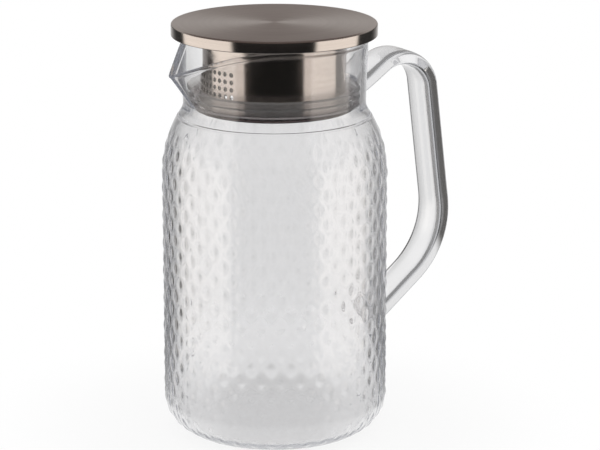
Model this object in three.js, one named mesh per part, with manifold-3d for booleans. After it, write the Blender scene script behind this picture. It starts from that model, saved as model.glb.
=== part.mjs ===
// Clear plastic carafe with a steel lid, in millimetres, +Z up.
// The origin is the centre of the flat base. The spout points to -X and the handle to +X.
// A blown vessel carries a bonded handle. The lid is a pressed steel cap, a plate pressed into it,
// a perforated sleeve welded under the plate, and a silicone ring that the sleeve's flange holds.

import * as THREE from 'three';
import { mergeVertices } from 'three/addons/utils/BufferGeometryUtils.js';
import Module from 'manifold-3d';

const wasm = await Module();
wasm.setup();

// Driving dimensions of the vessel
const BODY_DIAMETER = 115;
const BODY_WALL = 3;
const FLOOR_THICKNESS = 3;
const BASE_CORNER_RADIUS = 18;
const WALL_TOP_HEIGHT = 135;
const SHOULDER_RADIUS = 57;
const SHOULDER_STEP = 11.4;
const NECK_HEIGHT = 36.2;
const NECK_FLARE = 1.2;
const NECK_WALL = 2.6;
const RIM_BEAD = 0.4;

// Driving dimensions of the pouring spout
const SPOUT_REACH = 11.7;
const SPOUT_DROP = 15.2;
const SPOUT_FOOT_RISE = 3.5;
const SPOUT_SPREAD = THREE.MathUtils.degToRad(70);
const SPOUT_DROP_POWER = 1.9;
const BEAK_TIP_ROUND = THREE.MathUtils.degToRad(1);

// Driving dimensions of the diamond relief on the vessel
const DIAMONDS_ROUND = 36;
const DIAMOND_HEIGHT = 14.6;
const DIAMOND_DEPTH = 0.6;
const DIAMOND_START = 6.3;
const DIAMOND_TOP_MARGIN = 3;

// Driving dimensions of the handle: a strip bent along a path with two rounded corners
const HANDLE_WIDTH = 22.1;
const HANDLE_THICKNESS = 7;
const HANDLE_SQUARENESS = 7;
const HANDLE_ROOT_WIDTH = 26;
const HANDLE_ROOT_FLARE = 20;
const HANDLE_ROOT_RISE = 7.8;
const HANDLE_TOP_REACH = 25.8;
const HANDLE_TOP_RISE = 23.6;
const HANDLE_TOP_BEND = 17.7;
const HANDLE_LOW_REACH = 39.8;
const HANDLE_LOW_HEIGHT = 87.4;
const HANDLE_LOW_BEND = 45;
const HANDLE_FOOT_HEIGHT = 54.2;
const HANDLE_EMBED = 9;
const BOND_GAP = 0.3;

// Driving dimensions of the lid
const CAP_OVERHANG = 4.7;
const CAP_HEIGHT = 6.1;
const CAP_SHEET = 0.8;
const CAP_EDGE_RADIUS = 0.7;
const CAP_SEAT_GAP = 0.3;
const PLATE_THICKNESS = 1;
const PLATE_FIT_GAP = 0.3;
const SLEEVE_SHEET = 0.8;
const SLEEVE_FLANGE = 1.5;
const SEAL_HEIGHT = 10;
const SEAL_WIDTH = 6.7;
const SEAL_LIP_REACH = 3.4;
const SEAL_LIP_ROOT = 2.4;
const SEAL_LIP_TIP = 0.8;
const SEAL_LIP_RISE = 3.6;
const SEAL_LIP_COUNT = 3;
const SEAL_RISE = 0.7;
const SEAL_SKIRT = 1;
const SEAL_NECK_GAP = 0.3;
const SEAL_SLEEVE_GAP = 0.3;

// Driving dimensions of the openings in the sleeve
const STRAINER_HOLE = 2.4;
const STRAINER_ROWS = 4;
const STRAINER_COLUMNS = 10;
const STRAINER_PITCH_UP = 3.75;
const STRAINER_PITCH_ROUND = 3.75;
const STRAINER_ABOVE_SEAL = 0.1;
const WINDOW_WIDTH = 30;
const WINDOW_HEIGHT = 9;

// Facet counts
const VESSEL_FACETS = 2 * DIAMONDS_ROUND;
const LID_FACETS = 48;
const HOLE_FACETS = 8;
const HANDLE_STEPS = 40;
const HANDLE_SECTION_POINTS = 24;
const NECK_ROWS = 5;
const ARC_STEPS = 4;
const WELD_TOLERANCE = 1e-4;

// Radii and heights that follow from the driving dimensions
const bodyRadius = BODY_DIAMETER / 2;
const neckRadius = bodyRadius - SHOULDER_STEP;
const rimRadius = neckRadius + NECK_FLARE;
const shoulderCentre = bodyRadius - SHOULDER_RADIUS;
const neckFoot = WALL_TOP_HEIGHT + arcRise(SHOULDER_RADIUS, SHOULDER_STEP);
const rimHeight = neckFoot + NECK_HEIGHT;
const spoutFoot = neckFoot + SPOUT_FOOT_RISE;
const neckBore = neckRadius - NECK_WALL;
const boreFoot = WALL_TOP_HEIGHT + arcRise(SHOULDER_RADIUS - BODY_WALL, bodyRadius - BODY_WALL - neckBore);
const capRadius = rimRadius + CAP_OVERHANG;
const capBottom = rimHeight + CAP_SEAT_GAP;
const sealBottom = boreFoot + SEAL_RISE;
const sealTop = sealBottom + SEAL_HEIGHT;
const sealRadius = neckBore - SEAL_NECK_GAP;
const sealBore = sealRadius - SEAL_WIDTH;
const sleeveRadius = sealBore - SEAL_SLEEVE_GAP;
const flangeRadius = sleeveRadius + SLEEVE_FLANGE;
const flangeBottom = sealBottom + SEAL_SKIRT + SEAL_SLEEVE_GAP;
const strainerFoot = sealTop + STRAINER_ABOVE_SEAL + STRAINER_HOLE / 2;

// Height that an arc of this radius climbs from a vertical start while it steps inwards
function arcRise(radius, step) {
  return Math.sqrt(radius ** 2 - (radius - step) ** 2);
}

// Removes all but the positions, joins shared vertices and drops triangles of no area
function weld(geometry) {
  geometry.deleteAttribute('normal');
  geometry.deleteAttribute('uv');
  const welded = mergeVertices(geometry, WELD_TOLERANCE);
  const corners = welded.getIndex().array;
  const kept = [];
  for (let i = 0; i < corners.length; i += 3) {
    const triangle = [corners[i], corners[i + 1], corners[i + 2]];
    if (new Set(triangle).size === 3) {
      kept.push(...triangle);
    }
  }
  welded.setIndex(kept);
  return welded;
}

function toSolid(geometry) {
  const welded = weld(geometry);
  return new wasm.Manifold(new wasm.Mesh({
    numProp: 3,
    vertProperties: new Float32Array(welded.getAttribute('position').array),
    triVerts: new Uint32Array(welded.getIndex().array),
  }));
}

function toGeometry(solid) {
  const mesh = solid.getMesh();
  const geometry = new THREE.BufferGeometry();
  geometry.setAttribute('position', new THREE.BufferAttribute(new Float32Array(mesh.vertProperties), 3));
  geometry.setIndex(new THREE.BufferAttribute(new Uint32Array(mesh.triVerts), 1));
  return geometry;
}

// Turns a profile of radius and height about the Z axis
function revolve(profile, facets) {
  const geometry = new THREE.LatheGeometry(profile, facets);
  geometry.rotateX(Math.PI / 2);
  return geometry;
}

function point(radius, height) {
  return new THREE.Vector2(radius, height);
}

// Points of an arc in the profile plane, both ends included
function arc(centreRadius, centreHeight, radius, from, to, steps) {
  return Array.from({ length: steps + 1 }, (_, i) => {
    const angle = from + (to - from) * i / steps;
    return point(centreRadius + radius * Math.cos(angle), centreHeight + radius * Math.sin(angle));
  });
}

// Outer wall of the vessel by its length along the wall, from the edge of the flat base to the neck
const cornerLength = BASE_CORNER_RADIUS * Math.PI / 2;
const wallLength = WALL_TOP_HEIGHT - BASE_CORNER_RADIUS;
const shoulderSweep = Math.acos(1 - SHOULDER_STEP / SHOULDER_RADIUS);
const outerLength = cornerLength + wallLength + SHOULDER_RADIUS * shoulderSweep;

function outerWall(along, offset) {
  if (along < cornerLength) {
    const angle = along / BASE_CORNER_RADIUS - Math.PI / 2;
    const radius = BASE_CORNER_RADIUS + offset;
    const centre = bodyRadius - BASE_CORNER_RADIUS;
    return point(centre + radius * Math.cos(angle), BASE_CORNER_RADIUS + radius * Math.sin(angle));
  }
  if (along < cornerLength + wallLength) {
    return point(bodyRadius + offset, BASE_CORNER_RADIUS + along - cornerLength);
  }
  const angle = (along - cornerLength - wallLength) / SHOULDER_RADIUS;
  const radius = SHOULDER_RADIUS + offset;
  return point(shoulderCentre + radius * Math.cos(angle), WALL_TOP_HEIGHT + radius * Math.sin(angle));
}

// Rows of the relief lie half a diamond apart
const rowPitch = DIAMOND_HEIGHT / 2;
const reliefRows = Math.floor((outerLength - DIAMOND_START - DIAMOND_TOP_MARGIN) / rowPitch);

// Closed profile of the vessel: base, outer wall, neck, beaded rim, then down the inside
function vesselProfile() {
  const base = [point(0, 0), outerWall(0, 0), outerWall(DIAMOND_START / 2, 0)];
  const relief = [];
  for (let row = 0; row <= reliefRows; row += 1) {
    relief.push(outerWall(DIAMOND_START + row * rowPitch, 0));
  }
  const beadRadius = NECK_WALL / 2 + RIM_BEAD;
  const beadLean = Math.acos(NECK_WALL / 2 / beadRadius);
  const rimCentre = rimHeight - beadRadius;
  const neck = [point(neckRadius, neckFoot)];
  for (let row = 0; row < NECK_ROWS; row += 1) {
    const height = spoutFoot + (rimCentre - spoutFoot) * row / NECK_ROWS;
    const flare = NECK_FLARE * (height - neckFoot) / (rimCentre - neckFoot);
    neck.push(point(neckRadius + flare, height));
  }
  const beadAxis = rimRadius - NECK_WALL / 2;
  const rim = arc(beadAxis, rimCentre, beadRadius, -beadLean, Math.PI + beadLean, 2 * ARC_STEPS);
  const bore = neck.slice(1).reverse().map((p) => point(p.x - NECK_WALL, p.y));
  const innerShoulder = arc(shoulderCentre, WALL_TOP_HEIGHT, SHOULDER_RADIUS - BODY_WALL,
    Math.asin((boreFoot - WALL_TOP_HEIGHT) / (SHOULDER_RADIUS - BODY_WALL)), 0, ARC_STEPS);
  const innerCorner = BASE_CORNER_RADIUS - BODY_WALL;
  const innerBase = arc(bodyRadius - BASE_CORNER_RADIUS, FLOOR_THICKNESS + innerCorner, innerCorner,
    0, -Math.PI / 2, ARC_STEPS);
  const inside = [...innerShoulder, ...innerBase, point(0, FLOOR_THICKNESS)];
  const neckStart = base.length + relief.length;
  return {
    points: [...base, ...relief, ...neck, ...rim, ...bore, ...inside],
    firstRelief: base.length,
    neckStart,
    neckEnd: neckStart + neck.length + rim.length + bore.length,
  };
}

// Pulls the neck out into a beak, whose flat flanks leave the round neck at a tangent, and lets its rim dip
function bendSpout(vertex) {
  const fromSpout = Math.abs(Math.atan2(vertex.y, -vertex.x));
  const climb = THREE.MathUtils.clamp((vertex.z - spoutFoot) / (rimHeight - spoutFoot), 0, 1);
  const spread = Math.max(0, 1 - fromSpout / SPOUT_SPREAD);
  const rounded = Math.hypot(fromSpout, BEAK_TIP_ROUND) - BEAK_TIP_ROUND;
  const radius = Math.hypot(vertex.x, vertex.y);
  const flankEnd = Math.acos(radius / (radius + SPOUT_REACH * climb));
  const stretch = 1 / Math.cos(Math.max(0, flankEnd - rounded));
  vertex.multiply(new THREE.Vector3(stretch, stretch, 1));
  vertex.z -= climb * SPOUT_DROP * spread ** SPOUT_DROP_POWER;
}

// Sinks every other point of the lattice, so that each diamond stands up as a low pyramid
function vesselGeometry() {
  const { points, firstRelief, neckStart, neckEnd } = vesselProfile();
  const geometry = revolve(points, VESSEL_FACETS);
  const position = geometry.getAttribute('position');
  const lastRelief = firstRelief + reliefRows;
  const vertex = new THREE.Vector3();
  for (let i = 0; i < position.count; i += 1) {
    const row = i % points.length;
    const column = Math.floor(i / points.length);
    vertex.fromBufferAttribute(position, i);
    if (row > firstRelief && row < lastRelief && (row + column) % 2 === 1) {
      const sunk = outerWall(DIAMOND_START + (row - firstRelief) * rowPitch, -DIAMOND_DEPTH);
      const shrink = sunk.x / points[row].x;
      vertex.set(vertex.x * shrink, vertex.y * shrink, sunk.y);
    }
    if (row >= neckStart && row < neckEnd) {
      bendSpout(vertex);
    }
    position.setXYZ(i, vertex.x, vertex.y, vertex.z);
  }
  geometry.setIndex(reliefTriangles(points.length, firstRelief, lastRelief));
  return weld(geometry);
}

// Splits each square of the lattice between its two sunk points, along the edge of a diamond
function reliefTriangles(rows, firstRelief, lastRelief) {
  const triangles = [];
  for (let column = 0; column < VESSEL_FACETS; column += 1) {
    for (let row = 0; row < rows - 1; row += 1) {
      const a = column * rows + row;
      const b = a + rows;
      const c = b + 1;
      const d = a + 1;
      const inRelief = row >= firstRelief && row < lastRelief;
      if (inRelief && (row + column) % 2 === 1) {
        triangles.push(a, b, c, a, c, d);
      } else {
        triangles.push(a, b, d, c, d, b);
      }
    }
  }
  return triangles;
}

// Smooth outside of the vessel grown by the bond gap, filled, to trim the handle's ends
function handleTrim() {
  const wall = [];
  for (let row = 0; row <= reliefRows; row += 1) {
    wall.push(outerWall(outerLength * row / reliefRows, BOND_GAP));
  }
  const profile = [
    point(0, -BOND_GAP),
    ...wall,
    point(neckRadius + BOND_GAP, neckFoot + BOND_GAP),
    point(rimRadius + BOND_GAP, rimHeight + BOND_GAP),
    point(0, rimHeight + BOND_GAP),
  ];
  return toSolid(revolve(profile, VESSEL_FACETS));
}

// Path through corner points in the X Z plane, each inner corner rounded by its bend radius
function roundedPath(corners, bends) {
  const path = new THREE.Path();
  path.moveTo(corners[0].x, corners[0].y);
  bends.forEach((bend, i) => {
    const corner = corners[i + 1];
    const back = corners[i].clone().sub(corner).normalize();
    const ahead = corners[i + 2].clone().sub(corner).normalize();
    const halfAngle = Math.acos(back.dot(ahead)) / 2;
    const start = corner.clone().addScaledVector(back, bend / Math.tan(halfAngle));
    const toCentre = back.clone().add(ahead).normalize();
    const centre = corner.clone().addScaledVector(toCentre, bend / Math.sin(halfAngle));
    const from = start.clone().sub(centre).angle();
    path.lineTo(start.x, start.y);
    path.absarc(centre.x, centre.y, bend, from, from - (Math.PI - 2 * halfAngle), true);
  });
  const last = corners[corners.length - 1];
  path.lineTo(last.x, last.y);
  return path;
}

function extend(end, towards, length) {
  return end.clone().addScaledVector(end.clone().sub(towards).normalize(), length);
}

// Centre line of the handle, run on into the neck and the wall so that it can be trimmed to them
function handlePath() {
  const rootHeight = neckFoot + HANDLE_ROOT_RISE;
  const root = point(neckRadius, rootHeight);
  const top = point(bodyRadius + HANDLE_TOP_REACH, rootHeight + HANDLE_TOP_RISE);
  const low = point(bodyRadius + HANDLE_LOW_REACH, HANDLE_LOW_HEIGHT);
  const foot = point(bodyRadius, HANDLE_FOOT_HEIGHT);
  const corners = [extend(root, top, HANDLE_EMBED), top, low, extend(foot, low, HANDLE_EMBED)];
  return roundedPath(corners, [HANDLE_TOP_BEND, HANDLE_LOW_BEND]);
}

// Draws a cosine or sine out towards the corners of the handle's section
function squared(value) {
  return Math.sign(value) * Math.abs(value) ** (2 / HANDLE_SQUARENESS);
}

// Section of the handle, an oblong with full round edges: x runs across the strip, y through it
function handleSection(width) {
  return Array.from({ length: HANDLE_SECTION_POINTS }, (_, i) => {
    const angle = 2 * Math.PI * i / HANDLE_SECTION_POINTS;
    return point(width / 2 * squared(Math.cos(angle)), HANDLE_THICKNESS / 2 * squared(Math.sin(angle)));
  });
}

function handleStrip() {
  const path = handlePath();
  const length = path.getLength();
  const positions = [];
  const triangles = [];
  const ring = HANDLE_SECTION_POINTS;
  for (let step = 0; step <= HANDLE_STEPS; step += 1) {
    const share = step / HANDLE_STEPS;
    const centre = path.getPointAt(share);
    const heading = path.getTangentAt(share);
    const pastRoot = share * length - HANDLE_EMBED;
    const slimmed = THREE.MathUtils.smoothstep(pastRoot, 0, HANDLE_ROOT_FLARE);
    const width = THREE.MathUtils.lerp(HANDLE_ROOT_WIDTH, HANDLE_WIDTH, slimmed);
    for (const { x: across, y: through } of handleSection(width)) {
      positions.push(centre.x - heading.y * through, across, centre.y + heading.x * through);
    }
  }
  for (let step = 0; step < HANDLE_STEPS; step += 1) {
    for (let i = 0; i < ring; i += 1) {
      const a = step * ring + i;
      const b = step * ring + (i + 1) % ring;
      triangles.push(a, b, a + ring, b, b + ring, a + ring);
    }
  }
  for (let i = 1; i < ring - 1; i += 1) {
    const last = HANDLE_STEPS * ring;
    triangles.push(0, i + 1, i, last, last + i, last + i + 1);
  }
  const geometry = new THREE.BufferGeometry();
  geometry.setAttribute('position', new THREE.Float32BufferAttribute(positions, 3));
  geometry.setIndex(triangles);
  return geometry;
}

function handleGeometry() {
  return toGeometry(toSolid(handleStrip()).subtract(handleTrim()));
}

// Pressed cap: a flat top with a short skirt and rounded edges, open below
function capGeometry() {
  const top = capBottom + CAP_HEIGHT;
  const inside = capRadius - CAP_SHEET;
  const profile = [
    point(0, top - CAP_SHEET),
    point(inside, top - CAP_SHEET),
    point(inside, capBottom),
    point(capRadius, capBottom),
    ...arc(capRadius - CAP_EDGE_RADIUS, top - CAP_EDGE_RADIUS, CAP_EDGE_RADIUS, 0, Math.PI / 2, ARC_STEPS),
    point(0, top),
  ];
  return weld(revolve(profile, LID_FACETS));
}

// Plate pressed into the cap, flush with the edge of its skirt
function plateGeometry() {
  const radius = capRadius - CAP_SHEET - PLATE_FIT_GAP;
  const profile = [
    point(0, capBottom),
    point(radius, capBottom),
    point(radius, capBottom + PLATE_THICKNESS),
    point(0, capBottom + PLATE_THICKNESS),
  ];
  return weld(revolve(profile, LID_FACETS));
}

// Plain sleeve: a tube from the plate down into the ring, with a turned-out flange at its foot
function sleeveTube() {
  const inside = sleeveRadius - SLEEVE_SHEET;
  const profile = [
    point(inside, flangeBottom),
    point(flangeRadius, flangeBottom),
    point(flangeRadius, flangeBottom + SLEEVE_SHEET),
    point(sleeveRadius, flangeBottom + SLEEVE_SHEET),
    point(sleeveRadius, capBottom),
    point(inside, capBottom),
    point(inside, flangeBottom),
  ];
  return toSolid(revolve(profile, LID_FACETS));
}

// One strainer hole through the wall on the spout side, at this angle from the spout
function strainerHole(fromSpout, height) {
  const length = 4 * SLEEVE_SHEET;
  const hole = new THREE.CylinderGeometry(STRAINER_HOLE / 2, STRAINER_HOLE / 2, length, HOLE_FACETS);
  hole.rotateZ(Math.PI / 2);
  hole.translate(-sleeveRadius + SLEEVE_SHEET / 2, 0, height);
  hole.rotateZ(fromSpout);
  return toSolid(hole);
}

// Wide window on the handle side, for pouring without the strainer
function pourWindow() {
  const round = WINDOW_HEIGHT / 2;
  const straight = WINDOW_WIDTH / 2 - round;
  const outline = new THREE.Shape();
  outline.absarc(straight, 0, round, -Math.PI / 2, Math.PI / 2, false);
  outline.absarc(-straight, 0, round, Math.PI / 2, 3 * Math.PI / 2, false);
  const window = new THREE.ExtrudeGeometry(outline, {
    depth: sleeveRadius,
    bevelEnabled: false,
    curveSegments: ARC_STEPS,
  });
  window.rotateX(Math.PI / 2);
  window.rotateZ(Math.PI / 2);
  window.translate(0, 0, strainerFoot + STRAINER_PITCH_UP * (STRAINER_ROWS - 1) / 2);
  window.translate(SLEEVE_SHEET, 0, 0);
  return toSolid(window);
}

function sleeveGeometry() {
  let sleeve = sleeveTube().subtract(pourWindow());
  const angleStep = STRAINER_PITCH_ROUND / sleeveRadius;
  for (let row = 0; row < STRAINER_ROWS; row += 1) {
    for (let column = 0; column < STRAINER_COLUMNS; column += 1) {
      const fromSpout = (column - (STRAINER_COLUMNS - 1) / 2) * angleStep;
      sleeve = sleeve.subtract(strainerHole(fromSpout, strainerFoot + row * STRAINER_PITCH_UP));
    }
  }
  return toGeometry(sleeve);
}

// Silicone ring: soft lips reach out and up to the neck, and a groove in the bore takes the sleeve's flange
function sealGeometry() {
  const web = sealRadius - SEAL_LIP_REACH;
  const groove = flangeRadius + SEAL_SLEEVE_GAP;
  const lipPitch = (SEAL_HEIGHT - SEAL_LIP_ROOT) / (SEAL_LIP_COUNT - 1);
  const profile = [point(sealBore, sealBottom)];
  for (let lip = 0; lip < SEAL_LIP_COUNT; lip += 1) {
    const foot = sealBottom + lip * lipPitch;
    const tip = foot + SEAL_LIP_RISE;
    profile.push(point(web, foot));
    profile.push(point(sealRadius, tip));
    profile.push(point(sealRadius, tip + SEAL_LIP_TIP));
    profile.push(point(web, foot + SEAL_LIP_ROOT));
  }
  profile.push(point(sealBore, sealTop));
  profile.push(point(sealBore, flangeBottom + SLEEVE_SHEET + SEAL_SLEEVE_GAP));
  profile.push(point(groove, flangeBottom + SLEEVE_SHEET + SEAL_SLEEVE_GAP));
  profile.push(point(groove, flangeBottom - SEAL_SLEEVE_GAP));
  profile.push(point(sealBore, flangeBottom - SEAL_SLEEVE_GAP));
  profile.push(point(sealBore, sealBottom));
  return weld(revolve(profile, LID_FACETS));
}

function clearPlastic() {
  return new THREE.MeshStandardMaterial({
    color: 0xe9ebec,
    roughness: 0.06,
    metalness: 0,
    transparent: true,
    opacity: 0.35,
  });
}

function brushedSteel(color) {
  return new THREE.MeshStandardMaterial({ color, roughness: 0.32, metalness: 1 });
}

function softSilicone() {
  return new THREE.MeshStandardMaterial({ color: 0xb4b2b0, roughness: 0.55, metalness: 0 });
}

function piece(name, geometry, material) {
  const mesh = new THREE.Mesh(geometry, material);
  mesh.name = name;
  return mesh;
}

const lid = new THREE.Group();
lid.add(piece('lid_cap', capGeometry(), brushedSteel(0x8c827c)));
lid.add(piece('lid_base_plate', plateGeometry(), brushedSteel(0x9a938e)));
lid.add(piece('strainer_sleeve', sleeveGeometry(), brushedSteel(0xa8a09a)));

const carafe = new THREE.Group();
carafe.add(piece('carafe_body', vesselGeometry(), clearPlastic()));
carafe.add(piece('handle', handleGeometry(), clearPlastic()));
carafe.add(piece('seal_ring', sealGeometry(), softSilicone()));
carafe.add(lid);

export default carafe;
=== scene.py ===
# %% [markdown]
# # A clear carafe with a steel lid
# The packed model holds six plain solids at their real size: a blown vessel, a bonded handle and a lid of
# four pieces. This lesson gives each solid the fine surface and the finish that the real piece has. All
# lengths are in metres, in the frame of the packed model: +Z is up, the spout points to -X and the handle
# to +X.

# %% Load the packed model
import math

import bmesh
import bpy
import numpy as np
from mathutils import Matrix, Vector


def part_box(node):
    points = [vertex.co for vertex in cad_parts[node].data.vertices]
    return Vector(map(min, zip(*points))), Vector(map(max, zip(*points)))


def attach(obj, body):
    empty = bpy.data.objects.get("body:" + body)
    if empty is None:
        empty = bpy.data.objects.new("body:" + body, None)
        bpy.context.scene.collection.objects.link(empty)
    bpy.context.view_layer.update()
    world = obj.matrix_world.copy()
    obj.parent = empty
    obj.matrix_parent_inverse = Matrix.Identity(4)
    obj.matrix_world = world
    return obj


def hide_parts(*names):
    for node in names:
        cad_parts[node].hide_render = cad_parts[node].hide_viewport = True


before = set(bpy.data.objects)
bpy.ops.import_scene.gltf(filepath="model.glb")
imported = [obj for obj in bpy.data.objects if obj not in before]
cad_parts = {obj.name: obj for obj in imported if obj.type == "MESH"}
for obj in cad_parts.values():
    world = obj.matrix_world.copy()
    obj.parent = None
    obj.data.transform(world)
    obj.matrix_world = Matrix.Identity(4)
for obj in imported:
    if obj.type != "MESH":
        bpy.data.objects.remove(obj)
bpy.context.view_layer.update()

MM = 0.001

# %% [markdown]
# ## The camera
# The photograph was taken with a long lens, a little above the rim, from the left of the handle's plane. The
# place could be set by eye, but here it was fitted once to the outline of the vessel and the lid, and is
# kept as a place, two turns and a focal length.

# %% Camera
CAMERA_PLACE = (-0.6364, -1.1969, 0.4675)
CAMERA_PITCH = math.radians(75.088)
CAMERA_TURN = math.radians(-28.544)
CAMERA_LENS = 164.68
SENSOR_WIDTH = 36.0

lens = bpy.data.cameras.new("camera")
lens.lens = CAMERA_LENS
lens.sensor_width = SENSOR_WIDTH
camera = bpy.data.objects.new("camera", lens)
camera.location = CAMERA_PLACE
camera.rotation_euler = (CAMERA_PITCH, 0.0, CAMERA_TURN)
bpy.context.scene.collection.objects.link(camera)
bpy.context.scene.camera = camera
print("camera", round(math.dist(CAMERA_PLACE, (0, 0, 0)), 3), "m from the base")

# %% [markdown]
# ## Grids of points
# A round piece is a profile turned about the axis, and a strip is a section carried along a path. Both give
# a grid of rows and columns, so one function numbers the faces of any grid and one writes the arrays into a
# mesh. Where a row shrinks to a point on the axis, its copies are merged so that the pole is closed.

# %% Points and faces of a grid
def stack(*parts):
    """Arrays of one number for each point, brought to one shape and put side by side as the last axis."""
    return np.stack(np.broadcast_arrays(*parts), axis=-1)


def turned(radius, turn, height):
    """Points at a turn t about the axis: x = r cos t, y = r sin t, z = height."""
    return stack(radius * np.cos(turn), radius * np.sin(turn), height)


def grid_quads(rows, columns, close_rows=False):
    """Quads between neighbouring rows and columns. The last column joins the first, and the last row joins
    the first row if the rows are closed."""
    counted = np.arange(rows if close_rows else rows - 1)
    row, column = np.meshgrid(counted, np.arange(columns), indexing="ij")
    beside = (column + 1) % columns
    lower = row * columns
    upper = (row + 1) % rows * columns
    return stack(lower + column, lower + beside, upper + beside, upper + column).reshape(-1, 4)


print("first face of a small grid:", grid_quads(2, 3)[0].tolist())

# %% Closed poles and the volume of a mesh
MERGE_DISTANCE = 0.001 * MM


def close_poles(mesh):
    """Merges points that share a place, so that the quads at a pole become triangles."""
    work = bmesh.new()
    work.from_mesh(mesh)
    bmesh.ops.remove_doubles(work, verts=work.verts, dist=MERGE_DISTANCE)
    work.to_mesh(mesh)
    work.free()
    mesh.update()


def signed_volume(mesh):
    """Sum of the tetrahedra between the origin and each triangle, positive where the faces point outwards."""
    mesh.calc_loop_triangles()
    corner = np.empty(len(mesh.loop_triangles) * 3, dtype=np.int32)
    mesh.loop_triangles.foreach_get("vertices", corner)
    place = np.empty(len(mesh.vertices) * 3, dtype=np.float32)
    mesh.vertices.foreach_get("co", place)
    a, b, c = place.reshape(-1, 3).astype(float)[corner.reshape(-1, 3)].transpose(1, 0, 2)
    return np.einsum("ij,ij->i", a, np.cross(b, c)).sum() / 6


print("points closer than", MERGE_DISTANCE / MM, "mm are merged")

# %% From arrays to a mesh
SMOOTH = math.radians(180)
ML_PER_CUBIC_METRE = 1e6


def put_piece(name, points, faces, crease=SMOOTH):
    """A mesh object from an array of points and an array of faces, smooth up to the crease angle."""
    mesh = bpy.data.meshes.new(name)
    mesh.vertices.add(points.size // 3)
    mesh.vertices.foreach_set("co", np.ascontiguousarray(points, dtype=np.float32).ravel())
    sides = faces.shape[1]
    mesh.loops.add(faces.size)
    mesh.loops.foreach_set("vertex_index", np.ascontiguousarray(faces, dtype=np.int32).ravel())
    mesh.polygons.add(len(faces))
    mesh.polygons.foreach_set("loop_start", np.arange(0, faces.size, sides, dtype=np.int32))
    mesh.update(calc_edges=True)
    close_poles(mesh)
    mesh.shade_smooth()
    if crease < SMOOTH:
        mesh.set_sharp_from_angle(angle=crease)
    piece = bpy.data.objects.new(name, mesh)
    bpy.context.scene.collection.objects.link(piece)
    volume = signed_volume(mesh) * ML_PER_CUBIC_METRE
    print(f"{name}: {len(mesh.vertices)} points, {len(mesh.loop_triangles)} triangles, {volume:.2f} ml")
    return piece


def turn_profile(name, profile, columns, closed=False, crease=SMOOTH):
    """A profile of radius and height turned about the axis."""
    turn = np.linspace(0, 2 * np.pi, columns, endpoint=False)
    points = turned(profile[:, :1], turn, profile[:, 1:])
    return put_piece(name, points, grid_quads(len(profile), columns, closed), crease)


# %% [markdown]
# ## Lines with rounded corners
# Pressed and moulded pieces have no sharp corners. A profile or a path is given by its corner points and by
# the radius at each one. An arc of that radius touches both legs of the corner, which a bevel could do too,
# but here the radius stays a real size.

# %% Rounded line
def unit(vector):
    """The vector divided by its length."""
    return vector / np.linalg.norm(vector)


def rounded_line(corners, radii, steps=8):
    """Points of a line whose inner corners are arcs. An arc of radius r in a corner of half angle h starts
    r / tan h before it, about a centre r / sin h away; its points are the spherical mix of its two ends."""
    corners = np.asarray(corners, dtype=float)
    parts = [corners[:1]]
    share = np.linspace(0, 1, steps + 1)[:, None]
    for before, corner, after, radius in zip(corners, corners[1:], corners[2:], radii):
        back, ahead = unit(before - corner), unit(after - corner)
        half = math.acos(np.clip(back @ ahead, -1, 1)) / 2
        centre = corner + unit(back + ahead) * radius / math.sin(half)
        start = corner + back * radius / math.tan(half) - centre
        end = corner + ahead * radius / math.tan(half) - centre
        sweep = math.pi - 2 * half
        mixed = np.sin((1 - share) * sweep) * start + np.sin(share * sweep) * end
        parts.append(centre + mixed / math.sin(sweep))
    return np.concatenate([*parts, corners[-1:]])


print("a line with one rounded corner has", len(rounded_line([(2, 0), (0, 0), (0, 2)], [1])), "points")

# %% [markdown]
# ## The vessel
# The real vessel is blown from one clear plastic tube: a flat base, a straight wall, a round shoulder and a
# neck whose rim is drawn out into a pouring beak. A lattice of low diamonds covers it from base to shoulder.
# A displacement modifier could press the diamonds in, but the relief bends light, so it is worked out as
# part of the surface: length along the wall and turn about the axis are the two parameters.

# %% Sizes of the vessel
body_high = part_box("carafe_body")[1]
body_radius = body_high.y
rim_height = body_high.z
BODY_WALL = 3.0 * MM
FLOOR_THICKNESS = 3.0 * MM
BASE_ROUND = 18.0 * MM
WALL_TOP = 135.0 * MM
SHOULDER_ROUND = 57.0 * MM
SHOULDER_STEP = 11.4 * MM
NECK_FLARE = 1.2 * MM
NECK_WALL = 2.6 * MM
NECK_FILLET = 3.0 * MM
RIM_BEAD = 0.4 * MM

neck_radius = body_radius - SHOULDER_STEP
rim_radius = neck_radius + NECK_FLARE
corner_length = BASE_ROUND * math.pi / 2
wall_end = corner_length + WALL_TOP - BASE_ROUND
shoulder_sweep = math.acos(1 - SHOULDER_STEP / SHOULDER_ROUND)
outer_length = wall_end + SHOULDER_ROUND * shoulder_sweep
neck_foot = WALL_TOP + SHOULDER_ROUND * math.sin(shoulder_sweep)
bead_radius = NECK_WALL / 2 + RIM_BEAD
bead_lean = math.acos(NECK_WALL / 2 / bead_radius)
rim_centre = rim_height - bead_radius
print("neck foot", round(neck_foot / MM, 1), "rim", round(rim_height / MM, 1))
print("length of the wall's line", round(outer_length / MM, 1))


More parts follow.
